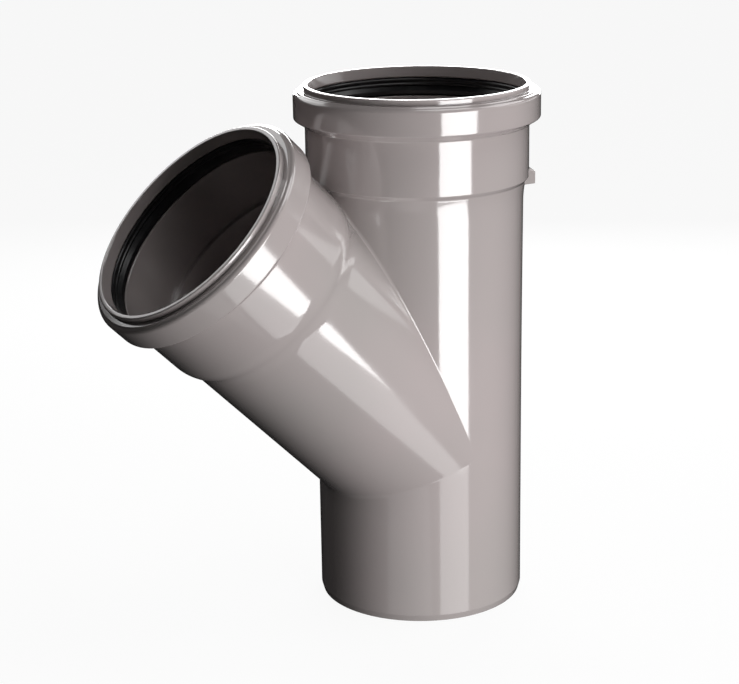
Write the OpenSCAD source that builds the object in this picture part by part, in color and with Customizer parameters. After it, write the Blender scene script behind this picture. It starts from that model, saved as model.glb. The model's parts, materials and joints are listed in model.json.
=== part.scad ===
// Sewer pipe tee: a 45 degree equal branch in grey PVC with two ring-seal sockets and one plain spigot.
// Origin at the centre of the spigot's end, +Z up the run, and the branch leans towards -X.
// Socket profiles are written as [radius, depth], with the depth measured inwards from the mouth.

/* [Pipe] */
// Outside diameter of the pipe that the tee joins, and of its own spigot
pipe_d = 160; // [110:1:200]
// Wall of the plain pipe lengths
pipe_wall = 4.7; // [3.6:0.1:7]
// Outward draft of the run above the spigot, in degrees
run_draft = 0.2; // [0.1:0.05:0.3]
// Inward draft of the branch's bore below its stop, in degrees
bore_draft = 0.12; // [0.05:0.01:0.2]

/* [Layout] */
// Angle between the branch and the run
branch_angle = 45; // [40:1:60]
// Length of the spigot that goes into the next socket
spigot_l = 92; // [74:1:130]
// Plain wall between the spigot and the lower corner's fillet
heel_gap = 0.5; // [0.5:0.1:10]
// How far past the meeting of the two socket bodies each socket starts
crotch_gap = 0.6; // [0.2:0.1:12]

/* [Spigot end] */
// Length of the lead-in chamfer
chamfer_l = 5; // [3:0.5:12]
// Width of the lead-in chamfer
chamfer_w = 1.4; // [0.8:0.1:2.4]

/* [Socket] */
// Clearance between the pipe and the socket's bore, on the radius
socket_fit = 0.3; // [0.2:0.05:0.6]
// Wall of the socket body
socket_wall = 4.7; // [3.8:0.1:7]
// Length of the socket from its mouth to its shoulder
socket_l = 71.6; // [64:0.2:110]
// Depth of wall between the pipe stop and the shoulder
stop_back = 3.4; // [2.5:0.1:6]
// Length of the run socket's outer shoulder
run_shoulder_l = 4; // [3:0.1:8]
// Length of the branch socket's outer shoulder
branch_shoulder_l = 23.6; // [16:0.2:40]

/* [Mouth] */
// Length of the plain lip at the mouth
lip_l = 4.4; // [3:0.1:6]
// Wall of the lip, outside the mouth's land
lip_wall = 5.1; // [4:0.1:6]
// Length of the lead-in cone inside the mouth
leadin_l = 7.6; // [4:0.1:8]
// Width of the lead-in cone
leadin_w = 1.5; // [0.8:0.1:2]
// Clearance between the pipe and the mouth's land, on the radius
land_fit = 0.9; // [0.5:0.1:1.5]

/* [Ring groove] */
// Plain land between the lead-in cone and the groove
land_l = 1; // [0.5:0.1:3]
// Width of the groove
groove_w = 14.5; // [13.5:0.5:20]
// Depth of the groove below the socket's bore
groove_depth = 8.7; // [8:0.1:11]
// Wall around the groove
ring_wall = 4.6; // [3.6:0.1:6.5]
// Rounding of the groove's floor corners
groove_r = 1.6; // [0.6:0.1:2.4]

/* [Seal ring] */
// Clearance between the seal and the groove
seal_gap = 0.2; // [0.1:0.05:0.4]
// Radius of the two beads on the seal's face
bead_r = 1.5; // [1:0.1:2]
// Thickness of the seal's lip
lip_t = 1.7; // [1.2:0.1:2.4]

/* [Corner fillets] */
// Fillet in the upper corner, between branch and run
crotch_r = 2; // [1.5:0.1:4]
// Fillet in the lower corner, under the branch
heel_r = 6; // [3:0.5:12]

/* [Lug] */
// Direction of the lug around the run, from +X
lug_az = -22; // [-60:1:60]
// Height of the lug above the socket body
lug_h = 6; // [3:0.5:9]
// Length of the lug along the run
lug_l = 14; // [12:0.5:22]
// Width of the lug
lug_w = 12; // [6:0.5:24]

/* [Hidden] */
$fn = 96;

PVC = [0.70, 0.67, 0.66];
RUBBER = [0.06, 0.06, 0.06];

// How far a cutter runs past the face that it opens
past = 1;
// Steps of a small rounding, and of a large one
small_n = 4;
large_n = 8;

// Roundings at the lip's outer edge, the mouth, the bulge, the shoulder and the start of the bore
lip_edge = 1;
mouth_edge = 0.5;
bulge_edge = 1.5;
shoulder_edge = 0.8;
bore_edge = 0.9;
// The step at the foot of the lip, and the bulge's front rounding behind it
step_l = 0.9;
front_r = 3.6;
front_turn = 72;
// Full wall of the bulge past the groove, and the length of the slope behind it
bulge_back = 2.4;
bulge_slope_l = 5.2;
// Slope of the run shoulder, and the radius of its hollow foot
shoulder_slope = 50;
foot_hollow = 2.4;
// Draft of the groove's side walls, over their whole height
groove_draft = 0.4;
// Chamfer on the pipe stop
stop_edge_w = 0.6;
stop_edge_l = 1.2;

// Seal: setback from the groove's front wall, rounding of its heel, and band between its beads
seal_front = 0.5;
heel_edge = 1;
bead_gap = 0.5;
// How far the beads stay clear of the pipe
bead_fit = 0.7;
// Seal lip: distance of its tip from the groove's end, reach past the heel, and hollow above it
lip_back = 1.6;
lip_reach = 3;
lip_hollow = 0.9;
lip_root = 2.4;
lip_flat = 2.6;

// Lug: how far it starts above the shoulder, its ramp, and the slope of its underside
lug_start = 3.6;
lug_ramp = 3.6;
lug_foot = 1;

// Corner fillets: how deep their edges run below the surfaces, and how deep their root lies
fillet_sink = 0.3;
fillet_root = 2;
// How far round the run they reach to each side, their cross-sections and the steps of their arcs
fillet_reach = 72;
fillet_steps = 24;
fillet_n = 6;
// Halvings that find a fillet's centre, and the step that measures the branch's slope there
halvings = 30;
slope_step = 0.05;

pipe_r = pipe_d / 2;
pipe_in = pipe_r - pipe_wall;

// Socket radii, from the bore outwards
bore_r = pipe_r + socket_fit;
body_r = bore_r + socket_wall;
land_r = pipe_r + land_fit;
mouth_r = land_r + leadin_w;
lip_r = land_r + lip_wall;
groove_floor = bore_r + groove_depth;
bulge_r = groove_floor + ring_wall;

// Socket depths, from the mouth inwards
groove_s = leadin_l + land_l;
groove_end = groove_s + groove_w;
bore_s = groove_end + bore_edge;
stop_s = socket_l - stop_back;
bulge_end = groove_end + bulge_back;
body_s = bulge_end + bulge_slope_l;

// Heights on the run, and distances along the branch from the crossing of the axes
half = branch_angle / 2;
crossing_z = spigot_l + heel_gap + (pipe_r + heel_r) * tan(half);
arm = body_r / tan(half) + crotch_gap + socket_l;
run_top = crossing_z + arm;

// Points of an arc about [cx, cy] from angle a0 to a1
function arc(cx, cy, r, a0, a1, n) =
    [for (i = [0:n]) let (a = a0 + (a1 - a0) * i / n) [cx + r * cos(a), cy + r * sin(a)]];

// Turns [radius, depth] points into [radius, height] points below a mouth
function below(mouth, points) = [for (p = points) [p[0], mouth - p[1]]];

// Radius of the run at a height
function run_r(z) = pipe_r + max(0, z - spigot_l) * tan(run_draft);

// Outside of a socket: lip, step, bulge round the groove, and the body as far as its shoulder
function socket_outside() = let (
        front_c = bulge_r - front_r,
        slope = atan((bulge_r - body_r) / bulge_slope_l),
        edge_l = bulge_edge * tan(slope / 2)
    ) concat(
        arc(lip_r - lip_edge, lip_edge, lip_edge, -90, 0, small_n),
        [[lip_r, lip_l], [front_c, lip_l], [front_c, lip_l + step_l]],
        arc(front_c, lip_l + step_l + front_r, front_r, -front_turn, 0, large_n),
        arc(bulge_r - bulge_edge, bulge_end - edge_l, bulge_edge, 0, slope, small_n),
        arc(body_r + bulge_edge, body_s + edge_l, bulge_edge, 180 + slope, 180, small_n)
    );

// Outer shoulder of the run socket: a short cone with a rounded edge and a hollow foot
function run_shoulder() = let (
        foot_s = socket_l + run_shoulder_l,
        foot_r = run_r(run_top - foot_s)
    ) concat(
        arc(body_r - shoulder_edge, socket_l - shoulder_edge, shoulder_edge, 0, shoulder_slope, small_n),
        arc(foot_r + foot_hollow, foot_s, foot_hollow, 180 + shoulder_slope, 180, small_n)
    );

// Outer shoulder of the branch socket: a long soft reverse curve of two equal arcs
function branch_shoulder() = let (
        turn = 2 * atan((body_r - pipe_r) / branch_shoulder_l),
        r = branch_shoulder_l / (2 * sin(turn))
    ) concat(
        arc(body_r - r, socket_l, r, 0, turn, large_n),
        arc(pipe_r + r, socket_l + branch_shoulder_l, r, 180 + turn, 180, large_n)
    );

// Inside of a socket: lead-in, land, ring groove, bore and stop
function socket_inside() = let (
        corner_c = groove_floor - groove_r
    ) concat(
        [[mouth_r + mouth_edge, -past], [mouth_r + mouth_edge, 0]],
        [[mouth_r, mouth_edge], [land_r, leadin_l], [land_r, groove_s]],
        arc(corner_c, groove_s + groove_draft + groove_r, groove_r, -80, 0, small_n),
        arc(corner_c, groove_end - groove_draft - groove_r, groove_r, 0, 80, small_n),
        arc(bore_r + bore_edge, bore_s, bore_edge, 260, 180, small_n),
        [[bore_r, stop_s], [pipe_in + stop_edge_w, stop_s], [pipe_in, stop_s + stop_edge_l]]
    );

// Cross-section of a seal ring: a heel in the groove, two beads and a lip laid back as by a pipe
function seal_section() = let (
        outer = groove_floor - seal_gap,
        front = groove_s + seal_gap + seal_front,
        bead_c = pipe_r + bead_fit + bead_r,
        first = front + bead_r,
        second = first + 2 * bead_r + bead_gap,
        tip = groove_end - lip_back,
        heel_c = tip - lip_reach - heel_edge,
        hollow = bead_c + lip_t + lip_hollow
    ) concat(
        arc(outer - heel_edge, front + heel_edge, heel_edge, -90, 0, small_n),
        arc(outer - heel_edge, heel_c, heel_edge, 0, 90, small_n),
        arc(hollow + heel_edge, heel_c, heel_edge, 90, 180, small_n),
        [[hollow, second + lip_root], [bead_c, second + lip_root]],
        arc(pipe_r + lip_t / 2, tip, lip_t / 2, 20, 180, small_n),
        [[pipe_r, tip - lip_flat]],
        arc(bead_c, second, bead_r, 120, 240, large_n),
        arc(bead_c, first, bead_r, 120, 270, large_n)
    );

// Places its children along the branch, with +Z out of the branch's mouth
module along_branch() {
    translate([0, 0, crossing_z]) rotate([0, -branch_angle, 0]) children();
}

// Outside of the run, whose drafted wall is two lengths that meet at the height of the crossing
module run_solid() {
    rotate_extrude()
        polygon(concat(
            [[0, run_top]],
            below(run_top, socket_outside()),
            below(run_top, run_shoulder()),
            [[run_r(crossing_z), crossing_z], [pipe_r, spigot_l]],
            [[pipe_r, chamfer_l], [pipe_r - chamfer_w, 0], [0, 0]]
        ));
}

module branch_solid() {
    rotate_extrude()
        polygon(concat(
            [[0, arm]],
            below(arm, socket_outside()),
            below(arm, branch_shoulder()),
            [[pipe_r, 0], [0, 0]]
        ));
}

// Inside of the run, in two lengths below the stop that meet at the height of the crossing
module run_bore() {
    rotate_extrude()
        polygon(concat(
            [[0, run_top + past]],
            below(run_top, socket_inside()),
            [[pipe_in, crossing_z], [pipe_in, -past], [0, -past]]
        ));
}

module branch_bore() {
    rotate_extrude()
        polygon(concat(
            [[0, arm + past]],
            below(arm, socket_inside()),
            [[pipe_in - (arm - stop_s) * tan(bore_draft), 0], [0, 0]]
        ));
}

// The moulded lug at the foot of the run socket, with a ramp on top
module lug() {
    top = socket_l - lug_start;
    outer = body_r + lug_h;
    inner = body_r - socket_wall / 2;
    root = pipe_r - pipe_wall / 2;
    rotate([0, 0, lug_az]) rotate([90, 0, 0])
        linear_extrude(lug_w, center = true)
            polygon(below(run_top, [
                [inner, top],
                [body_r, top],
                [outer, top + lug_ramp],
                [outer, top + lug_l - lug_foot],
                [pipe_r, top + lug_l],
                [root, top + lug_l],
                [root, socket_l],
                [inner, socket_l - stop_back / 2]
            ]));
}

// Radius of the branch at a distance along it from the crossing, as far as its socket body
function branch_r(d) = let (
        turn = 2 * atan((body_r - pipe_r) / branch_shoulder_l),
        r = branch_shoulder_l / (2 * sin(turn)),
        s = arm - socket_l - d,
        left = branch_shoulder_l - s
    ) s <= 0 ? body_r
        : left <= 0 ? pipe_r
        : s < left ? body_r - r + sqrt(r * r - s * s)
        : pipe_r + r - sqrt(r * r - left * left);

// Slope of the branch's outside at a distance along it, in degrees
function branch_slope(d) = atan((branch_r(d + slope_step) - branch_r(d - slope_step)) / (2 * slope_step));

// Centre of a ball of radius r that touches the run at angle a round it, at height z
function ball_at(r, a, z) = [-(run_r(z) + r) * cos(a), (run_r(z) + r) * sin(a), z];

// A point's [distance along the branch, offset across it in the plane of symmetry]
function on_branch(p) = let (h = p[2] - crossing_z) [
        h * cos(branch_angle) - p[0] * sin(branch_angle),
        h * sin(branch_angle) + p[0] * cos(branch_angle)
    ];

// Gap between such a ball and the branch, negative when they overlap
function ball_gap(r, p) = let (
        q = on_branch(p),
        t = branch_slope(q[0]),
        foot = q[0] + r * sin(t)
    ) norm([q[1], p[1]]) - branch_r(foot) - r * cos(branch_slope(foot));

// Height at which the ball touches both, found by halving between z0 and z1
function rest_z(r, a, z0, z1, n) = let (z = (z0 + z1) / 2)
    n == 0 ? z : ball_gap(r, ball_at(r, a, z)) < 0 ? rest_z(r, a, z, z1, n - 1) : rest_z(r, a, z0, z, n - 1);

// One cross-section of a corner fillet: its hollow arc, then its root inside the wall.
// The fillet lies in the upper corner with side = 1, and in the lower one with side = -1.
function fillet_section(r, a, side) = let (
        inner_z = crossing_z + pipe_r * cos(a) / tan(branch_angle),
        c = ball_at(r, a, rest_z(r, a, inner_z, inner_z + side * arm, halvings)),
        q = on_branch(c),
        t = branch_slope(q[0] + r * sin(branch_slope(q[0]))),
        away = [q[1] * cos(branch_angle), c[1], q[1] * sin(branch_angle)] / norm([q[1], c[1]]),
        out = [-sin(branch_angle), 0, cos(branch_angle)],
        n1 = [cos(a), -sin(a), 0],
        n2 = out * sin(t) - away * cos(t),
        turn = acos(min(1, n1 * n2)),
        across = (n2 - n1 * (n1 * n2)) / norm(n2 - n1 * (n1 * n2)),
        mid = (n1 + n2) / norm(n1 + n2)
    ) concat(
        [
            for (k = [0:fillet_n])
                let (b = turn * k / fillet_n)
                c + (r + fillet_sink) * (n1 * cos(b) + across * sin(b))
        ],
        [c + mid * (r / cos(turn / 2) + fillet_root)]
    );

// A corner fillet, as a strip of cross-sections from one flank of the run to the other
module corner_fillet(r, side) {
    m = fillet_n + 2;
    last = fillet_steps * m;
    turns = [for (i = [0:fillet_steps]) fillet_reach * (2 * i / fillet_steps - 1)];
    sections = [for (a = turns) fillet_section(r, a, side)];
    walls = [
        for (i = [0:fillet_steps - 1], j = [0:m - 1])
            let (k = (j + 1) % m, p = i * m)
            each [[p + j, p + k, p + m + j], [p + k, p + m + k, p + m + j]]
    ];
    caps = [
        for (j = [0:fillet_n - 1])
            each [[m - 1, j + 1, j], [last + m - 1, last + j, last + j + 1]]
    ];
    polyhedron(points = [for (s = sections) each s], faces = concat(walls, caps));
}

module tee_body() {
    color(PVC)
        difference() {
            union() {
                run_solid();
                along_branch() branch_solid();
                lug();
                corner_fillet(crotch_r, 1);
                corner_fillet(heel_r, -1);
            }
            run_bore();
            along_branch() branch_bore();
        }
}

module seal_ring() {
    color(RUBBER) rotate_extrude() polygon(below(0, seal_section()));
}

module run_seal_ring() {
    translate([0, 0, run_top]) seal_ring();
}

module branch_seal_ring() {
    along_branch() translate([0, 0, arm]) seal_ring();
}

tee_body();
run_seal_ring();
branch_seal_ring();
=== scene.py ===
"""A grey PVC sewer branch fitting with black ring seals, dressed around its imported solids.

All sizes are in metres, in the frame of the solids: +Z up the run, with the branch leaning to -X.
"""

import json
import logging
import math
from dataclasses import dataclass, field
from enum import Enum

import bmesh
import bpy
import numpy as np
from mathutils import Matrix, Vector

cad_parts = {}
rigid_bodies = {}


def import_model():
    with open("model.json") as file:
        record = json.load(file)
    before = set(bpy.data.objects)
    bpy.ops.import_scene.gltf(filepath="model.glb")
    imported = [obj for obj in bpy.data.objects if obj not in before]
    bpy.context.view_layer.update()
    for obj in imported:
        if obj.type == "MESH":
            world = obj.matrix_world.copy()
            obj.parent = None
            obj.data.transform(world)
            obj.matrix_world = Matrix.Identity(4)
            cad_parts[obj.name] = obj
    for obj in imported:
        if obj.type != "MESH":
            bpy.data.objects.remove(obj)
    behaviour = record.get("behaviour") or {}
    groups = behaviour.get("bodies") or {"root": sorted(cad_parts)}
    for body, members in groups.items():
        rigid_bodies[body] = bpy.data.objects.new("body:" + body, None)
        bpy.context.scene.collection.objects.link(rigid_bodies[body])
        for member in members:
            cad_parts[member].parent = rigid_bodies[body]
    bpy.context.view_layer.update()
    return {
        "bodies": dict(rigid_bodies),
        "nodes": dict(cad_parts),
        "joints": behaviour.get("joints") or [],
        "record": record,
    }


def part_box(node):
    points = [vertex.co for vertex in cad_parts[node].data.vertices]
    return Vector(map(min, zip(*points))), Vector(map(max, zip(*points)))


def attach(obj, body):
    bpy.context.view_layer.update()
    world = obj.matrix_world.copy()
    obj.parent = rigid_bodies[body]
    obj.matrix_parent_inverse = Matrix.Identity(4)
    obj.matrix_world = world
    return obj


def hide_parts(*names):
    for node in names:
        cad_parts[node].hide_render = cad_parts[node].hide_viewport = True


LOG = logging.getLogger("fitting")
BODY = "root"
SEALS = ("run_seal_ring", "branch_seal_ring")
HALVINGS = 48
WELD = 1e-6
MILLIMETRES_IN_A_METRE = 1000
SAME_ANGLE = 1e-4
LONG_EDGE = 3
BRANCH_ANGLE = math.radians(45.0)
LEAN = np.array([-math.sin(BRANCH_ANGLE), 0.0, math.cos(BRANCH_ANGLE)])
RISE = np.array([math.cos(BRANCH_ANGLE), 0.0, math.sin(BRANCH_ANGLE)])
SIDE = np.array([0.0, 1.0, 0.0])


def arc(centre: tuple, radius: float, start: float, end: float, steps: int) -> np.ndarray:
    """Points of an arc: centre + radius * (cos, sin) of an angle that goes evenly between two.

    Args:
        centre: (radius, depth) of the arc's centre.
        radius: the arc's own radius.
        start: first angle in degrees.
        end: last angle in degrees.
        steps: edges along the arc.

    Returns:
        (radius, depth) rows.
    """
    turn = np.radians(np.linspace(start, end, steps + 1))
    return np.column_stack((centre[0] + radius * np.cos(turn), centre[1] + radius * np.sin(turn)))


def eased(share: np.ndarray) -> np.ndarray:
    """Smooth step 3 t^2 - 2 t^3 of a share from 0 to 1."""
    return share**2 * (3 - 2 * share)


def supported(points: np.ndarray, reach: float) -> np.ndarray:
    """Adds a point near each end of every long edge, p + reach * (q - p) / |q - p|, so that smooth
    shading stays flat between a profile's roundings. A long edge is one over LONG_EDGE reaches.

    Args:
        points: the profile's rows.
        reach: distance of the added points from the edge's ends.

    Returns:
        The profile with the added rows.
    """
    edge = np.diff(points, axis=0)
    length = np.linalg.norm(edge, axis=1, keepdims=True)
    unit = reach * edge / np.maximum(length, reach)
    rows = np.stack((points[:-1], points[:-1] + unit, points[1:] - unit), axis=1)
    long = length[:, 0] > LONG_EDGE * reach
    kept = np.column_stack((np.ones_like(long), long, long))
    return np.vstack((rows[kept], points[-1:]))


def welded_mesh(name: str, grids: list[np.ndarray]) -> bpy.types.Mesh:
    """Joins point grids into one smooth mesh. Cell (i, j) becomes the face (i, j), (i, j + 1),
    (i + 1, j + 1), (i + 1, j), and points that lie within WELD of each other are merged.

    Args:
        name: name of the mesh.
        grids: arrays of shape (rows, columns, 3).

    Returns:
        The mesh.
    """
    points = np.concatenate([grid.reshape(-1, 3) for grid in grids])
    faces, base = [], 0
    for grid in grids:
        rows, columns = grid.shape[:2]
        index = base + np.arange(rows * columns).reshape(rows, columns)
        cells = (index[:-1, :-1], index[:-1, 1:], index[1:, 1:], index[1:, :-1])
        faces.append(np.stack(cells, axis=-1).reshape(-1, 4))
        base += index.size
    corners = np.concatenate(faces)
    mesh = bpy.data.meshes.new(name)
    mesh.vertices.add(len(points))
    mesh.vertices.foreach_set("co", points.astype(np.float32).ravel())
    mesh.loops.add(corners.size)
    mesh.loops.foreach_set("vertex_index", corners.astype(np.int32).ravel())
    mesh.polygons.add(len(corners))
    mesh.polygons.foreach_set("loop_start", np.arange(0, corners.size, 4, dtype=np.int32))
    mesh.update(calc_edges=True)
    shape = bmesh.new()
    shape.from_mesh(mesh)
    bmesh.ops.remove_doubles(shape, verts=shape.verts, dist=WELD)
    shape.to_mesh(mesh)
    shape.free()
    mesh.polygons.foreach_set("use_smooth", np.ones(len(mesh.polygons), dtype=bool))
    mesh.update()
    return mesh


class Step(Enum):
    """The operations of the Math nodes used here."""

    SUM = "ADD"
    PRODUCT = "MULTIPLY"


class Value:
    """A shader socket that Python's operators work on, each adding one Math node."""

    def __init__(self, nodes: "NodeBench", socket: bpy.types.NodeSocket) -> None:
        """Wraps a socket of one material's or world's node tree."""
        self.nodes = nodes
        self.socket = socket

    def _math(self, step: Step, *terms: object) -> "Value":
        """Adds a Math node whose inputs are the terms, in their order."""
        return self.nodes.make("ShaderNodeMath", {"operation": step.value}, dict(enumerate(terms)))

    def __add__(self, other: object) -> "Value":
        """Sum."""
        return self._math(Step.SUM, self, other)

    def __radd__(self, other: object) -> "Value":
        """Sum with a number on the left."""
        return self._math(Step.SUM, other, self)

    def __mul__(self, other: object) -> "Value":
        """Product."""
        return self._math(Step.PRODUCT, self, other)

    def __rmul__(self, other: object) -> "Value":
        """Product with a number on the left."""
        return self._math(Step.PRODUCT, other, self)


class NodeBench:
    """Builds the nodes of one material or world."""

    def __init__(self, tree: bpy.types.NodeTree) -> None:
        """Empties the tree and keeps it."""
        self.tree = tree
        tree.nodes.clear()

    def make(
        self,
        kind: str,
        settings: dict[str, object] | None = None,
        inputs: dict[object, object] | None = None,
        output: object = 0,
    ) -> Value:
        """Adds one node.

        Args:
            kind: the node's type.
            settings: attributes to set first; "stops" holds a ramp's (position, grey) pairs.
            inputs: values or links, by the socket's name or number.
            output: name or number of the output that is returned.

        Returns:
            The wrapped output, or the node's first input when it has no output.
        """
        node = self.tree.nodes.new(kind)
        for name, value in (settings or {}).items():
            if name == "stops":
                self._set_stops(node.color_ramp, value)
            else:
                setattr(node, name, value)
        for name, value in (inputs or {}).items():
            if isinstance(value, Value):
                self.tree.links.new(value.socket, node.inputs[name])
            else:
                node.inputs[name].default_value = value
        return Value(self, node.outputs[output] if node.outputs else node.inputs[0])

    @staticmethod
    def _set_stops(ramp: bpy.types.ColorRamp, stops: list[tuple[float, float]]) -> None:
        """Sets a ramp's stops.

        Args:
            ramp: the ramp.
            stops: (position, grey) pairs.
        """
        while len(ramp.elements) < len(stops):
            ramp.elements.new(1.0)
        for element, (position, grey) in zip(ramp.elements, stops):
            element.position = position
            element.color = (grey, grey, grey, 1.0)

    def noise(self, scale: float, detail: float = 2.0, stretch: tuple = (1.0, 1.0, 1.0)) -> Value:
        """Noise in object space.

        Args:
            scale: features per metre.
            detail: octaves of the noise.
            stretch: factor on each axis before the noise, to draw it out.

        Returns:
            The noise's factor, from 0 to 1.
        """
        place = self.make("ShaderNodeTexCoord", output="Object")
        placed = self.make("ShaderNodeMapping", inputs={"Vector": place, "Scale": stretch})
        return self.make("ShaderNodeTexNoise", inputs={"Vector": placed, "Scale": scale, "Detail": detail})

    def band(self, value: Value, low: float, high: float) -> Value:
        """Stretches a value, so that low becomes 0 and high becomes 1."""
        return self.make("ShaderNodeValToRGB", {"stops": [(low, 0.0), (high, 1.0)]}, {"Fac": value})

    def bump(self, height: Value, distance: float, under: Value | None = None) -> Value:
        """Bump of full strength.

        Args:
            height: the pattern, from 0 to 1.
            distance: height of the pattern's peaks in metres.
            under: normal of the bump that this one lies on, if there is one.

        Returns:
            The bumped normal.
        """
        inputs = {"Strength": 1.0, "Distance": distance, "Height": height}
        if under is not None:
            inputs["Normal"] = under
        return self.make("ShaderNodeBump", inputs=inputs)

    def mix(self, factor: Value, first: object, second: object) -> Value:
        """Mixes two colours by a factor."""
        return self.make(
            "ShaderNodeMix", {"data_type": "RGBA"}, {0: factor, 6: first, 7: second}, output=2
        )

    def finish(self, surface: Value, kind: str = "ShaderNodeOutputMaterial") -> None:
        """Links the surface to the tree's output."""
        self.make(kind, inputs={"Surface": surface})


def new_material(name: str) -> tuple[bpy.types.Material, NodeBench]:
    """Makes an empty material.

    Args:
        name: the material's name.

    Returns:
        The material and the bench for its nodes.
    """
    material = bpy.data.materials.new(name)
    material.use_nodes = True
    return material, NodeBench(material.node_tree)


@dataclass(frozen=True)
class MouldedPvc:
    """Glossy grey PVC with the slight ripple and shade drift of a thick moulding.

    Scales are features per metre, bands are the noise levels between which a pattern rises from
    nothing to full, and heights are in metres.
    """

    colour: tuple = (0.455, 0.402, 0.398, 1.0)
    cool: tuple = (0.42, 0.385, 0.376, 1.0)
    drift_scale: float = 7.0
    drift_detail: float = 3.0
    drift_band: tuple[float, float] = (0.35, 0.7)
    roughness: float = 0.10
    smudge: float = 0.05
    smudge_scale: float = 24.0
    smudge_detail: float = 5.0
    smudge_stretch: tuple = (1.0, 1.0, 0.35)
    smudge_band: tuple[float, float] = (0.4, 0.75)
    ripple_scale: float = 16.0
    ripple_detail: float = 1.0
    ripple_height: float = 0.0004
    peel_scale: float = 450.0
    peel_height: float = 0.00002
    ior: float = 1.54
    coat: float = 1.0
    coat_roughness: float = 0.08

    def material(self) -> bpy.types.Material:
        """Builds the material.

        Returns:
            The finished material.
        """
        material, bench = new_material("moulded_pvc")
        drift = bench.band(bench.noise(self.drift_scale, self.drift_detail), *self.drift_band)
        smudge = bench.noise(self.smudge_scale, self.smudge_detail, self.smudge_stretch)
        smudge = bench.band(smudge, *self.smudge_band)
        ripple = bench.bump(bench.noise(self.ripple_scale, self.ripple_detail), self.ripple_height)
        peel = bench.bump(bench.noise(self.peel_scale), self.peel_height, ripple)
        inputs = {
            "Base Color": bench.mix(drift, self.colour, self.cool),
            "Roughness": self.roughness + self.smudge * smudge,
            "IOR": self.ior,
            "Coat Weight": self.coat,
            "Coat Roughness": self.coat_roughness,
            "Normal": peel,
        }
        bench.finish(bench.make("ShaderNodeBsdfPrincipled", inputs=inputs))
        return material


@dataclass(frozen=True)
class SealRubber:
    """Black moulded rubber with a faint bloom and a satin shine. Scales, bands and heights are
    given as for the PVC."""

    colour: tuple = (0.012, 0.012, 0.013, 1.0)
    bloom: tuple = (0.03, 0.03, 0.032, 1.0)
    bloom_scale: float = 60.0
    bloom_detail: float = 4.0
    bloom_band: tuple[float, float] = (0.5, 0.8)
    roughness: float = 0.28
    bloom_roughness: float = 0.15
    grain_scale: float = 900.0
    grain_height: float = 0.00003
    ior: float = 1.52

    def material(self) -> bpy.types.Material:
        """Builds the material.

        Returns:
            The finished material.
        """
        material, bench = new_material("seal_rubber")
        bloom = bench.band(bench.noise(self.bloom_scale, self.bloom_detail), *self.bloom_band)
        inputs = {
            "Base Color": bench.mix(bloom, self.colour, self.bloom),
            "Roughness": self.roughness + self.bloom_roughness * bloom,
            "IOR": self.ior,
            "Normal": bench.bump(bench.noise(self.grain_scale), self.grain_height),
        }
        bench.finish(bench.make("ShaderNodeBsdfPrincipled", inputs=inputs))
        return material


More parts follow.
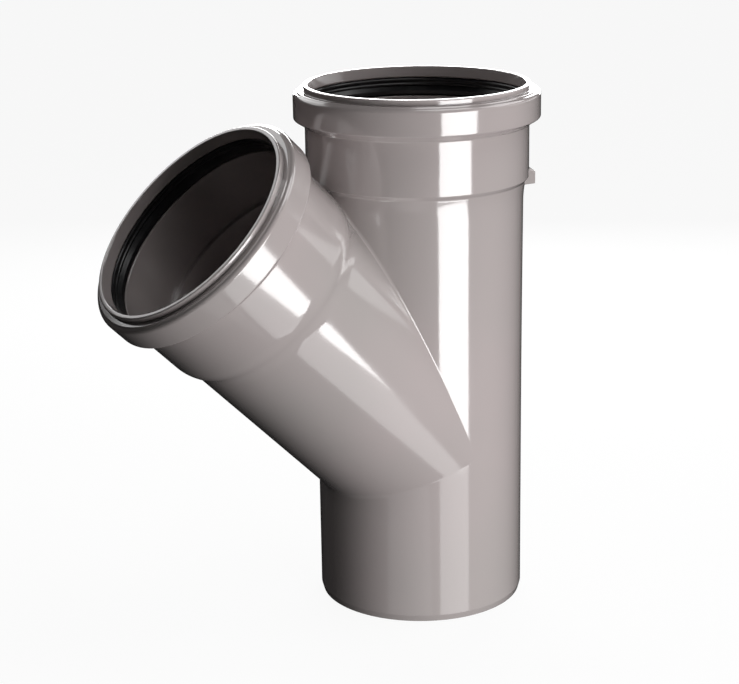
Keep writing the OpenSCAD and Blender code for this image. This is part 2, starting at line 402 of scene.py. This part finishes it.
@dataclass(frozen=True)
class Socket:
    """A ring-seal socket as profiles of (radius, depth from the mouth)."""

    pipe_radius: float
    bore_radius: float
    depth: float = 0.0716
    wall: float = 0.0047
    lip_radius: float = 0.0860
    lip_length: float = 0.0044
    lip_edge: float = 0.0010
    step: float = 0.0009
    mouth_radius: float = 0.0824
    mouth_edge: float = 0.0005
    lead_in: float = 0.0076
    land_radius: float = 0.0809
    land: float = 0.0010
    groove_radius: float = 0.0890
    groove_width: float = 0.0145
    groove_corner: float = 0.0016
    groove_draft: float = 0.0004
    bulge_radius: float = 0.0936
    bulge_front: float = 0.0036
    bulge_front_turn: float = 72.0
    bulge_back: float = 0.0024
    bulge_slope: float = 0.0052
    bulge_edge: float = 0.0015
    bore_edge: float = 0.0009
    stop_back: float = 0.0034
    stop_edge: tuple[float, float] = (0.0006, 0.0012)
    groove_turn: float = 80.0
    front_steps: int = 10
    lip_steps: int = 6
    edge_steps: int = 5

    @property
    def body_radius(self) -> float:
        """Outside radius of the straight length behind the bulge."""
        return self.bore_radius + self.wall

    @property
    def stop_depth(self) -> float:
        """Depth of the inner edge of the pipe stop."""
        return self.depth - self.stop_back + self.stop_edge[1]

    def outside(self) -> np.ndarray:
        """The outside, from the mouth inwards: lip, step, rounded front, bulge, slope and body.

        Returns:
            (radius, depth) rows.
        """
        front = (self.bulge_radius - self.bulge_front, self.lip_length + self.step + self.bulge_front)
        groove_end = self.lead_in + self.land + self.groove_width
        slope = math.degrees(math.atan2(self.bulge_radius - self.body_radius, self.bulge_slope))
        edge = self.bulge_edge * math.tan(math.radians(slope / 2))
        back = groove_end + self.bulge_back
        foot = back + self.bulge_slope
        lip = (self.lip_radius - self.lip_edge, self.lip_edge)
        brow = (self.bulge_radius - self.bulge_edge, back - edge)
        hollow = (self.body_radius + self.bulge_edge, foot + edge)
        return np.vstack(
            (
                arc(lip, self.lip_edge, -90, 0, self.lip_steps),
                [(self.lip_radius, self.lip_length), (front[0], self.lip_length)],
                arc(front, self.bulge_front, -self.bulge_front_turn, 0, self.front_steps),
                arc(brow, self.bulge_edge, 0, slope, self.edge_steps),
                arc(hollow, self.bulge_edge, 180 + slope, 180, self.edge_steps),
            )
        )

    def inside(self) -> np.ndarray:
        """The inside, from the mouth inwards: lead-in, land, groove for the seal, bore and stop.

        Returns:
            (radius, depth) rows.
        """
        front = self.lead_in + self.land
        back = front + self.groove_width
        corner = self.groove_radius - self.groove_corner
        inset = self.groove_draft + self.groove_corner
        rim = (self.bore_radius + self.bore_edge, back + self.bore_edge)
        stop = self.depth - self.stop_back
        inner = self.pipe_radius - self.wall
        turn, steps = self.groove_turn, self.edge_steps
        return np.vstack(
            (
                [(self.mouth_radius + self.mouth_edge, 0.0), (self.mouth_radius, self.mouth_edge)],
                [(self.land_radius, self.lead_in), (self.land_radius, front)],
                arc((corner, front + inset), self.groove_corner, -turn, 0, steps),
                arc((corner, back - inset), self.groove_corner, 0, turn, steps),
                arc(rim, self.bore_edge, 180 + turn, 180, self.lip_steps),
                [(self.bore_radius, stop), (inner + self.stop_edge[0], stop), (inner, self.stop_depth)],
            )
        )


class Apex(Enum):
    """The two ends of the corner, above and below the crossing."""

    UPPER = 1.0
    LOWER = -1.0


@dataclass(frozen=True)
class Skin:
    """One face of the wall, outer or inner, round the corner where the two pipes meet.

    Both pipes have the same radius at the crossing of their axes, so the corner runs from an apex
    below, up one flank of the run to the height of the crossing, and on to an apex above. A ball
    that rolls in the corner, touching both pipes, leaves the fillet between its two contact curves.
    """

    crossing: float
    radius: float
    flare: tuple[float, float]
    shoulder: tuple[float, float, float]
    heel_ball: float
    crotch_ball: float
    tip_ball: float
    tip_span: float = math.radians(35.0)
    slope_step: float = 5e-5

    def ball_radius(self, spine: np.ndarray) -> np.ndarray:
        """Radius of the ball: one value below the crossing, and above it another that shrinks by a
        smooth step towards the upper apex, over the last stretch.

        Args:
            spine: angles round the branch, from pi at the lower apex to 0 at the upper one.

        Returns:
            The radii.
        """
        share = eased(np.clip(spine / self.tip_span, 0.0, 1.0))
        above = self.tip_ball + (self.crotch_ball - self.tip_ball) * share
        return np.where(spine > math.pi / 2, self.heel_ball, above)

    def run_radius(self, height: np.ndarray) -> np.ndarray:
        """Radius of the run: constant as far as the crossing, then growing with the square of the
        height to its value at the socket's foot, so that both pipes are alike where they meet.

        Args:
            height: heights on the run.

        Returns:
            The radii.
        """
        foot, wide = self.flare
        share = np.clip((height - self.crossing) / (foot - self.crossing), 0.0, 1.0)
        return self.radius + (wide - self.radius) * share**2

    def branch_radius(self, reach: np.ndarray) -> np.ndarray:
        """Radius of the branch: constant, then a reverse curve of two equal arcs up to the socket,
        R + a - sqrt(a^2 - d^2) and its mirror image, or constant where the socket isn't wider.

        Args:
            reach: distances along the branch from the crossing.

        Returns:
            The radii.
        """
        start, end, wide = self.shoulder
        length, rise = end - start, wide - self.radius
        if rise <= 0:
            return np.full_like(reach, self.radius)
        turn = 2 * math.atan(rise / length)
        arc_radius = length / (2 * math.sin(turn))
        near = np.clip(reach - start, 0.0, length / 2)
        far = np.clip(end - reach, 0.0, length / 2)
        low = self.radius + arc_radius - np.sqrt(arc_radius**2 - near**2)
        high = wide - arc_radius + np.sqrt(arc_radius**2 - far**2)
        return np.where(reach < (start + end) / 2, low, high)

    def branch_slope(self, reach: np.ndarray) -> np.ndarray:
        """Slope angle of the branch's outside, from the difference of its radius over a short step."""
        step = self.slope_step
        return np.arctan((self.branch_radius(reach + step) - self.branch_radius(reach - step)) / (2 * step))

    def rest(self, height: np.ndarray, turn: np.ndarray, ball: np.ndarray) -> tuple:
        """Puts a ball against the run and measures its gap to the branch.

        The centre is (-(R + b) cos a, (R + b) sin a, z); the gap is the centre's distance from the
        branch's axis less the branch's radius and b cos(slope) at the foot of the normal.

        Args:
            height: z of the centre.
            turn: azimuth a of the centre from -X.
            ball: radius b.

        Returns:
            The gap, the centre, the reach of the foot and the branch's outward normal there.
        """
        wide = self.run_radius(height) + ball
        centre = np.stack((-wide * np.cos(turn), wide * np.sin(turn), height), axis=-1)
        local = centre - (0.0, 0.0, self.crossing)
        reach, across = local @ LEAN, local @ RISE
        foot = reach + ball * np.sin(self.branch_slope(reach))
        slope = self.branch_slope(foot)
        far = np.hypot(across, centre[..., 1])
        away = (across[..., None] * RISE + centre[..., 1:2] * SIDE) / far[..., None]
        normal = np.cos(slope)[..., None] * away - np.sin(slope)[..., None] * LEAN
        gap = far - self.branch_radius(foot) - ball * np.cos(slope)
        return gap, centre, foot, normal

    def apex(self, ball: float, side: Apex) -> float:
        """Height at which the ball rests in the plane of symmetry, found by halving.

        Args:
            ball: the ball's radius.
            side: which end of the corner.

        Returns:
            The height.
        """
        low, high = 0.0, side.value * (self.shoulder[1] + ball)
        for _ in range(HALVINGS):
            middle = (low + high) / 2
            gap = self.rest(np.array(self.crossing + middle), np.array(0.0), np.array(ball))[0]
            low, high = (middle, high) if gap < 0 else (low, middle)
        return self.crossing + (low + high) / 2

    def spine_height(self, spine: np.ndarray) -> np.ndarray:
        """Heights of the corner: the crossing plus the apex's height over it times the cosine of the
        angle, above and below.

        Args:
            spine: angles round the branch.

        Returns:
            The heights.
        """
        above = self.apex(self.tip_ball, Apex.UPPER) - self.crossing
        below = self.crossing - self.apex(self.heel_ball, Apex.LOWER)
        return self.crossing + np.cos(spine) * np.where(spine > math.pi / 2, below, above)

    def corner(self, spine: np.ndarray) -> dict[str, np.ndarray]:
        """Rolls the ball along the corner, halving the azimuth for all heights at once.

        Args:
            spine: angles round the branch, from pi at the lower apex to 0 at the upper one.

        Returns:
            height, turn and ball of each contact on the run, its centre, the two normals, and the
            contact on the branch with its reach and angle.
        """
        height = self.spine_height(spine)
        ball = self.ball_radius(spine)
        low, high = np.zeros_like(spine), np.full_like(spine, math.pi / 2)
        for _ in range(HALVINGS):
            middle = (low + high) / 2
            over = self.rest(height, middle, ball)[0] < 0
            low, high = np.where(over, middle, low), np.where(over, high, middle)
        turn = (low + high) / 2
        turn[[0, -1]] = 0.0
        turn[np.isclose(spine, math.pi / 2)] = math.pi / 2
        _, centre, foot, normal = self.rest(height, turn, ball)
        run_normal = np.stack((-np.cos(turn), np.sin(turn), np.zeros_like(turn)), axis=-1)
        contact = centre - ball[:, None] * normal
        local = contact - (0.0, 0.0, self.crossing)
        angle = np.arctan2(local[:, 1], local @ RISE)
        angle[0], angle[-1] = math.pi, 0.0
        return {
            "height": height,
            "turn": turn,
            "ball": ball,
            "centre": centre,
            "run_normal": run_normal,
            "normal": normal,
            "contact": contact,
            "reach": local @ LEAN,
            "angle": angle,
        }

    def fillet(self, corner: dict[str, np.ndarray], steps: int) -> np.ndarray:
        """The fillet's grid: centre less the ball's radius times the normal, which turns evenly from
        the run's to the branch's.

        Args:
            corner: what corner() gave.
            steps: facets from one contact to the other.

        Returns:
            Points of shape (contacts, steps + 1, 3).
        """
        first, second = corner["run_normal"], corner["normal"]
        span = np.arccos(np.clip(np.sum(first * second, axis=1), -1.0, 1.0))[:, None]
        flat = span < SAME_ANGLE
        safe = np.where(flat, 1.0, np.sin(span))
        share = np.linspace(0.0, 1.0, steps + 1)[None, :]
        weight_a = np.where(flat, 1 - share, np.sin((1 - share) * span) / safe)[..., None]
        weight_b = np.where(flat, share, np.sin(share * span) / safe)[..., None]
        turned = weight_a * first[:, None] + weight_b * second[:, None]
        return corner["centre"][:, None] - corner["ball"][:, None, None] * turned


@dataclass
class Tee:
    """The one-piece moulding: run with spigot and socket, branch with socket, and a lug."""

    crossing: float
    arm: float
    height: float
    pipe_radius: float
    bore_radius: float
    wall: float = 0.0047
    spigot: float = 0.092
    draft: float = math.radians(0.2)
    chamfer: tuple[float, float] = (0.0014, 0.005)
    run_shoulder: float = 0.004
    run_shoulder_slope: float = 50.0
    run_shoulder_edge: float = 0.0008
    run_shoulder_hollow: float = 0.0024
    branch_shoulder: float = 0.0236
    heel_ball: float = 0.006
    crotch_ball: float = 0.002
    tip_ball: float = 0.0005
    inner_ball: float = 0.001
    support: float = 0.0004
    turn_step: float = math.radians(2.5)
    near_columns: int = 30
    fillet_steps: int = 6
    edge_steps: int = 5
    hollow_steps: int = 6
    near_share: float = 0.2
    near_rows: int = 8
    near_guards: tuple[float, float] = (0.01, 0.97)
    far_rows: int = 20
    bore_rows: int = 12
    swell: float = 0.0013
    swell_length: float = 0.015
    swell_turns: tuple[float, float] = (math.radians(30.0), math.radians(50.0))
    lug_turn: float = math.radians(158.0)
    lug_half: float = 0.006
    lug_edge: float = 0.0003
    lug_skirt: float = 0.0006
    lug_inset: float = 0.0009
    lug_clear: float = 0.009
    lug_depths: tuple[float, float, float, float] = (0.068, 0.0716, 0.081, 0.082)
    lug_height: float = 0.006

    def __post_init__(self) -> None:
        """Works out the sockets, the two skins of the corner and the shared angles."""
        self.socket = Socket(self.pipe_radius, self.bore_radius, wall=self.wall)
        foot = self.height - self.socket.depth - self.run_shoulder
        wide = self.pipe_radius + (foot - self.spigot) * math.tan(self.draft)
        branch_end = self.arm - self.socket.depth
        self.outer = Skin(
            self.crossing,
            self.pipe_radius,
            (foot, wide),
            (branch_end - self.branch_shoulder, branch_end, self.socket.body_radius),
            self.heel_ball,
            self.crotch_ball,
            self.tip_ball,
        )
        inner = self.pipe_radius - self.wall
        stop = self.arm - self.socket.stop_depth
        self.inner = Skin(
            self.crossing,
            inner,
            (self.height - self.socket.stop_depth, inner),
            (stop - self.branch_shoulder, stop, inner),
            self.inner_ball,
            self.inner_ball,
            self.inner_ball,
        )
        self.spine = self._spine()

    def _spine(self) -> np.ndarray:
        """Angles round the branch, with extra ones at the heights of the lug's foot: arccos of the
        height over the crossing, as a share of the apex's.

        Returns:
            Angles from pi to 0.
        """
        even = np.linspace(math.pi, 0.0, 1 + round(math.pi / self.turn_step))
        apex = self.outer.apex(self.tip_ball, Apex.UPPER) - self.crossing
        heights = self.height - np.array(self.lug_depths[2:]) - self.crossing
        heights = np.concatenate((heights, heights + self.support, heights - self.support))
        extra = np.arccos(np.clip(heights / apex, -1.0, 1.0))
        extra = extra[(heights < apex) & (np.abs(even[:, None] - extra).min(axis=0) > SAME_ANGLE)]
        return np.sort(np.concatenate((even, extra)))[::-1]

    def _columns(self, turn: np.ndarray, radius: np.ndarray) -> np.ndarray:
        """Azimuths of the run's columns, from pi at the far side to the corner's boundary.

        The far half has even steps, and columns at fixed distances t either side of the lug's
        middle, at asin(t / r). The near half is squeezed between pi/2 and the boundary.

        Args:
            turn: the boundary's azimuth for each row.
            radius: the radius of each row.

        Returns:
            Azimuths of shape (rows, columns).
        """
        even = np.linspace(math.pi, math.pi / 2, 1 + round(math.pi / 2 / self.turn_step))
        even = even[np.abs(even - self.lug_turn) > self.lug_clear / self.pipe_radius]
        side = self.lug_half + np.array([self.lug_skirt, 0.0, -self.lug_edge, -self.lug_inset])
        across = np.concatenate((-side, [-self.lug_half / 3, self.lug_half / 3], side[::-1]))
        base = np.concatenate((even, np.full(across.size, self.lug_turn)))
        shift = np.concatenate((np.zeros(even.size), across))
        order = np.argsort(-(base + shift / self.pipe_radius))
        far = base[order][None, :] + np.arcsin(shift[order][None, :] / radius[:, None])
        share = np.linspace(0.0, 1.0, self.near_columns + 1)[1:]
        share = np.sort(np.append(share, 1.0 - self.support / self.pipe_radius))
        near = math.pi / 2 + (turn[:, None] - math.pi / 2) * share[None, :]
        return np.hstack((far, near))

    def _raise_lug(self, grid: np.ndarray) -> np.ndarray:
        """Lifts what lies in the lug's width and height to its face: the larger of the distance
        along the lug's axis and the face's, which is linear between the lug's depths.

        Args:
            grid: points of the run's wall on the lug's side.

        Returns:
            The points with the lug raised.
        """
        axis = np.array([-math.cos(self.lug_turn), -math.sin(self.lug_turn), 0.0])
        side = np.array([-axis[1], axis[0], 0.0])
        out, across = grid @ axis, grid @ side
        depth = self.height - grid[..., 2]
        body = self.socket.body_radius
        face = body + self.lug_height
        reach = np.interp(depth, self.lug_depths, (body, face, face, self.pipe_radius))
        within = (np.abs(across) < self.lug_half - self.lug_edge / 2) & (out > 0)
        within &= (depth > self.lug_depths[0]) & (depth < self.lug_depths[3])
        lift = np.where(within, np.maximum(reach - out, 0.0), 0.0)
        return grid + lift[..., None] * axis

    def _run_rows(self, corner: dict[str, np.ndarray], inner: dict[str, np.ndarray]) -> np.ndarray:
        """Profile of the run once round its wall: spigot, corner, shoulder, socket and bore.

        Args:
            corner: what corner() gave for the outer skin.
            inner: the same for the inner skin.

        Returns:
            Rows of (radius, height, azimuth of the corner's boundary).
        """
        spigot, socket = self.pipe_radius, self.socket
        foot, wide = self.outer.flare
        slope, edge = self.run_shoulder_slope, self.run_shoulder_edge
        body = (socket.body_radius - edge, socket.depth - edge)
        hollow = (wide + self.run_shoulder_hollow, socket.depth + self.run_shoulder)
        width, length = self.chamfer
        start = (spigot, corner["height"][0] - self.support)
        low = supported(np.array([(spigot - width, 0.0), (spigot, length), start]), self.support)
        shoulder = np.vstack(
            (
                socket.outside(),
                [(socket.body_radius, self.lug_depths[0] - self.support)],
                [(socket.body_radius, self.lug_depths[0])],
                arc(body, edge, 0, slope, self.edge_steps),
                arc(hollow, self.run_shoulder_hollow, 180 + slope, 180, self.hollow_steps),
                [(wide, self.height - corner["height"][-1] - self.support / 4)],
            )
        )
        top = supported(np.vstack((shoulder[::-1], socket.inside())), self.support)
        top[:, 1] = self.height - top[:, 1]
        base = np.array([(self.inner.radius, inner["height"][0] - self.support), (self.inner.radius, 0.0)])
        plain = [np.column_stack((rows, np.zeros(len(rows)))) for rows in (low, top, base)]
        outer_rows, inner_rows = (
            np.column_stack((skin.run_radius(rows["height"]), rows["height"], rows["turn"]))
            for skin, rows in ((self.outer, corner), (self.inner, inner))
        )
        return np.vstack((plain[0], outer_rows, plain[1], inner_rows[::-1], plain[2], plain[0][:1]))

    def _swollen(self, radius: np.ndarray, height: np.ndarray, turn: np.ndarray) -> np.ndarray:
        """Radii of the run with the slight swell of its outside below the socket.

        The swell grows with the square of the height to the shoulder's foot, fades along the shoulder
        in proportion to what is left of its step, and fades out round the run before the corner.

        Args:
            radius: radius of each row.
            height: height of each row.
            turn: azimuth of each point.

        Returns:
            Radii, one for each point.
        """
        foot, wide = self.outer.flare
        body = self.socket.body_radius
        climb = np.clip((height - foot) / self.swell_length + 1.0, 0.0, 1.0) ** 2
        left = np.clip((body - radius) / (body - wide), 0.0, 1.0)
        outside = (radius > self.pipe_radius - self.wall / 2) & (height < self.height - self.socket.depth)
        grown = np.where(outside, climb * left, 0.0)
        near, far = self.swell_turns
        share = np.clip((turn - near) / (far - near), 0.0, 1.0)
        return radius + self.swell * grown * eased(share)

    def _run_grid(self, corner: dict, inner: dict) -> np.ndarray:
        """The run's wall, (-r cos a, r sin a, z).

        Args:
            corner: what corner() gave for the outer skin.
            inner: the same for the inner skin.

        Returns:
            Points of shape (rows, columns, 3).
        """
        rows = self._run_rows(corner, inner)
        turn = self._columns(rows[:, 2], rows[:, 0])
        height = np.broadcast_to(rows[:, 1:2], turn.shape)
        radius = self._swollen(rows[:, :1], height, turn)
        return np.stack((-radius * np.cos(turn), radius * np.sin(turn), height), axis=-1)

    def _branch_grid(self, corner: dict, inner: dict) -> np.ndarray:
        """The branch's wall, crossing + d * lean + r(d) * (rise cos b + side sin b).

        The rows leave the outer contact curve, follow the socket's profile in to the stop and end at
        the inner contact curve, and the angles ease from each curve's to the even ones.

        Args:
            corner: what corner() gave for the outer skin.
            inner: the same for the inner skin.

        Returns:
            Points of shape (rows, columns, 3).
        """
        spine = self.spine
        start, end, _ = self.outer.shoulder
        contact = corner["reach"]
        middle = np.maximum(start, contact + self.near_share * (end - contact))
        near = np.sort(np.append(np.linspace(0.0, 1.0, self.near_rows + 1), self.near_guards))[:, None]
        far = np.linspace(0.0, 1.0, self.far_rows + 1)[1:, None]
        reach = np.vstack((contact + (middle - contact) * near, middle + (end - middle) * far))
        angle = corner["angle"] + (spine - corner["angle"]) * eased((reach - contact) / (end - contact))
        radius = self.outer.branch_radius(reach)
        body = [(self.socket.body_radius, self.socket.depth)]
        profile = np.vstack((body, self.socket.outside()[::-1], self.socket.inside()))
        profile = supported(profile, self.support)[1:]
        ring = np.ones_like(spine)
        rings = (self.arm - profile[:, 1:]) * ring
        bore_end = rings[-1]
        share = np.linspace(0.0, 1.0, self.bore_rows + 1)[1:, None]
        bore = bore_end + (inner["reach"] - bore_end) * share
        bore_angle = spine + (inner["angle"] - spine) * eased(share)
        reach = np.vstack((reach, rings, bore))
        radius = np.vstack((radius, profile[:, :1] * ring, self.inner.branch_radius(bore)))
        angle = np.vstack((angle, np.broadcast_to(spine, rings.shape), bore_angle))
        place = reach[..., None] * LEAN + (radius * np.cos(angle))[..., None] * RISE
        place = place + (radius * np.sin(angle))[..., None] * SIDE + (0.0, 0.0, self.crossing)
        place[0], place[-1] = corner["contact"], inner["contact"]
        return place

    def mesh(self, name: str) -> bpy.types.Mesh:
        """Builds the moulding: both halves of the run, the branch and the two fillets, welded.

        Args:
            name: name of the mesh.

        Returns:
            The closed mesh.
        """
        corner, inner = self.outer.corner(self.spine), self.inner.corner(self.spine)
        grids = [
            self._run_grid(corner, inner),
            self._branch_grid(corner, inner)[:, ::-1],
            self.outer.fillet(corner, self.fillet_steps),
            self.inner.fillet(inner, self.fillet_steps)[:, ::-1],
        ]
        mirror = np.array([1.0, -1.0, 1.0])
        others = [(grid * mirror)[:, ::-1] for grid in grids]
        others[0] = self._raise_lug(others[0])
        return welded_mesh(name, grids + others)

    @classmethod
    def from_frame(cls, frame: dict) -> "Tee":
        """Reads the moulding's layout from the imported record's mounts and the solid's box.


        Returns:
            The tee.
        """
        mounts = {mount["name"]: mount for mount in frame["record"]["mounts"]}
        run, branch, spigot = (mounts[name] for name in ("run_socket", "branch_socket", "spigot"))
        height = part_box("tee_body")[1][2]
        middle = height - run["pos_m"][2]
        out, up = -branch["pos_m"][0], branch["pos_m"][2]
        crossing = up - out / math.tan(BRANCH_ANGLE)
        return cls(
            crossing=crossing,
            arm=out / math.sin(BRANCH_ANGLE) + middle,
            height=height,
            pipe_radius=spigot["dims"]["r_mm"] / MILLIMETRES_IN_A_METRE,
            bore_radius=run["dims"]["r_mm"] / MILLIMETRES_IN_A_METRE,
        )

    def build(self, material: bpy.types.Material) -> bpy.types.Object:
        """Builds the moulding in place of its solid.

        Args:
            material: its finish.

        Returns:
            The finished piece.
        """
        mesh = self.mesh("tee_moulding")
        mesh.materials.append(material)
        piece = bpy.data.objects.new("tee_moulding", mesh)
        bpy.context.scene.collection.objects.link(piece)
        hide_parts("tee_body")
        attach(piece, BODY)
        return piece


@dataclass(frozen=True)
class PhotoCamera:
    """The photograph's viewpoint, fitted to the fitting's outlines."""

    width_px: int = 739
    focal_px: float = 1968.8
    azimuth: float = math.radians(-31.30)
    elevation: float = math.radians(16.22)
    roll: float = math.radians(-0.92)
    distance: float = 1.53957
    aim_height: float = 0.2
    slide_right: float = -0.03856
    slide_up: float = 0.00145
    sensor: float = 36.0

    def build(self) -> None:
        """Makes the camera and hands it to the scene."""
        flat = math.cos(self.elevation)
        sine, cosine = math.sin(self.azimuth), math.cos(self.azimuth)
        back = Vector((sine * flat, -cosine * flat, math.sin(self.elevation)))
        level = Vector((cosine, sine, 0.0))
        rise = back.cross(level)
        right = math.cos(self.roll) * level + math.sin(self.roll) * rise
        up = -math.sin(self.roll) * level + math.cos(self.roll) * rise
        place = Vector((0.0, 0.0, self.aim_height)) + back * self.distance
        place += right * self.slide_right + up * self.slide_up
        data = bpy.data.cameras.new("photo_camera")
        data.sensor_width = self.sensor
        data.lens = self.focal_px / self.width_px * self.sensor
        camera = bpy.data.objects.new("photo_camera", data)
        camera.matrix_world = Matrix.Translation(place) @ Matrix((right, up, back)).transposed().to_4x4()
        bpy.context.scene.collection.objects.link(camera)
        bpy.context.scene.camera = camera


@dataclass(frozen=True)
class Panel:
    """A flat studio light between two upright edges, which may lean about its middle."""

    name: str
    first: tuple[float, float]
    second: tuple[float, float]
    low: float
    high: float
    radiance: float
    lean: float = 0.0

    def build(self) -> None:
        """Makes the light: its power is pi times the radiance times the area, and it faces the
        side that lies to the right of the way from its first edge to its second. A positive lean
        in radians turns that face down, and a negative one turns it up."""
        first, second = Vector((*self.first, 0.0)), Vector((*self.second, 0.0))
        across = second - first
        height = self.high - self.low
        data = bpy.data.lights.new(self.name, "AREA")
        data.shape = "RECTANGLE"
        data.size, data.size_y = across.length, height
        data.energy = math.pi * across.length * height * self.radiance
        axis = across.normalized()
        up = Matrix.Rotation(self.lean, 3, axis) @ Vector((0.0, 0.0, 1.0))
        middle = (first + second) / 2 + Vector((0.0, 0.0, (self.low + self.high) / 2))
        basis = Matrix((-axis, up, up.cross(axis))).transposed()
        lamp = bpy.data.objects.new(self.name, data)
        lamp.matrix_world = Matrix.Translation(middle) @ basis.to_4x4()
        lamp.visible_camera = False
        bpy.context.scene.collection.objects.link(lamp)


@dataclass
class Studio:
    """Camera, lights, world and floor.

    The key stands in front and draws the bright upright stripe on the run, and the low key below it
    draws the faint one on the spigot. The side panel is a narrow line on the top of the branch. The
    others light the mouths, the underside of the branch and the back.
    """

    camera: PhotoCamera = field(default_factory=PhotoCamera)
    panels: tuple[Panel, ...] = (
        Panel("key", (0.346, -0.895), (-0.204, -1.008), -0.17, 0.45, 7.8),
        Panel("low_key", (0.346, -0.895), (-0.204, -1.008), -0.75, -0.17, 1.5),
        Panel("side", (1.15, 0.35), (0.95, -0.65), 0.42, 0.58, 1.0),
        Panel("top_right", (0.95, 0.1), (0.65, -0.65), 0.75, 1.35, 2.2, 0.8),
        Panel("overhead", (0.6, -0.4), (-0.15, -0.4), 1.3, 2.1, 3.2, 1.5),
        Panel("low_left", (-0.30, -0.75), (-0.75, -0.30), -0.5, 0.0, 0.25, -0.6),
        Panel("back", (-0.95, 0.95), (0.25, 1.35), 0.75, 1.35, 1.6, 0.5),
        Panel("rear_right", (0.25, 1.2), (1.1, 0.6), 0.3, 1.0, 7.0, 0.3),
    )
    world_light: float = 0.008
    floor_size: float = 12.0
    white: tuple = (1.0, 1.0, 1.0, 1.0)
    floor_grey: tuple = (0.8, 0.8, 0.8, 1.0)
    floor_glow: float = 0.93

    def build(self) -> None:
        """Builds the whole studio."""
        bpy.context.scene.view_settings.view_transform = "Standard"
        self.camera.build()
        for panel in self.panels:
            panel.build()
        self._world()
        self._floor()

    def _world(self) -> None:
        """A nearly dark room that the camera sees as white."""
        world = bpy.data.worlds.new("studio")
        world.use_nodes = True
        bpy.context.scene.world = world
        bench = NodeBench(world.node_tree)
        seen = bench.make("ShaderNodeLightPath", output="Is Camera Ray")
        strength = self.world_light + seen * (1.0 - self.world_light)
        room = bench.make("ShaderNodeBackground", inputs={"Color": self.white, "Strength": strength})
        bench.finish(room, "ShaderNodeOutputWorld")

    def _floor(self) -> None:
        """A white floor that only the camera sees, which keeps the fitting's soft shadow."""
        half = self.floor_size / 2
        mesh = bpy.data.meshes.new("floor")
        corners = [(-half, -half, 0.0), (half, -half, 0.0), (half, half, 0.0), (-half, half, 0.0)]
        mesh.from_pydata(corners, [], [(0, 1, 2, 3)])
        floor = bpy.data.objects.new("floor", mesh)
        bpy.context.scene.collection.objects.link(floor)
        material, bench = new_material("pale_floor")
        seen = bench.make("ShaderNodeLightPath", output="Is Camera Ray")
        plain = bench.make("ShaderNodeBsdfDiffuse", inputs={"Color": self.floor_grey})
        glow = bench.make("ShaderNodeEmission", inputs={"Color": self.white, "Strength": 1.0})
        pale = bench.make("ShaderNodeMixShader", inputs={0: self.floor_glow, 1: plain, 2: glow})
        clear = bench.make("ShaderNodeBsdfTransparent")
        bench.finish(bench.make("ShaderNodeMixShader", inputs={0: seen, 1: clear, 2: pale}))
        mesh.materials.append(material)


def dress(node: bpy.types.Object, material: bpy.types.Material) -> None:
    """Gives a carried-over solid its finish."""
    node.data.materials.clear()
    node.data.materials.append(material)


def main() -> None:
    """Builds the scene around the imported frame."""
    logging.basicConfig(level=logging.INFO, format="%(name)s: %(message)s")
    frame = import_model()
    Studio().build()
    tee = Tee.from_frame(frame).build(MouldedPvc().material())
    LOG.info("built %s with %d faces", tee.name, len(tee.data.polygons))
    rubber = SealRubber().material()
    for name in SEALS:
        dress(frame["nodes"][name], rubber)
        LOG.info("dressed %s", name)


if __name__ == "__main__":
    main()
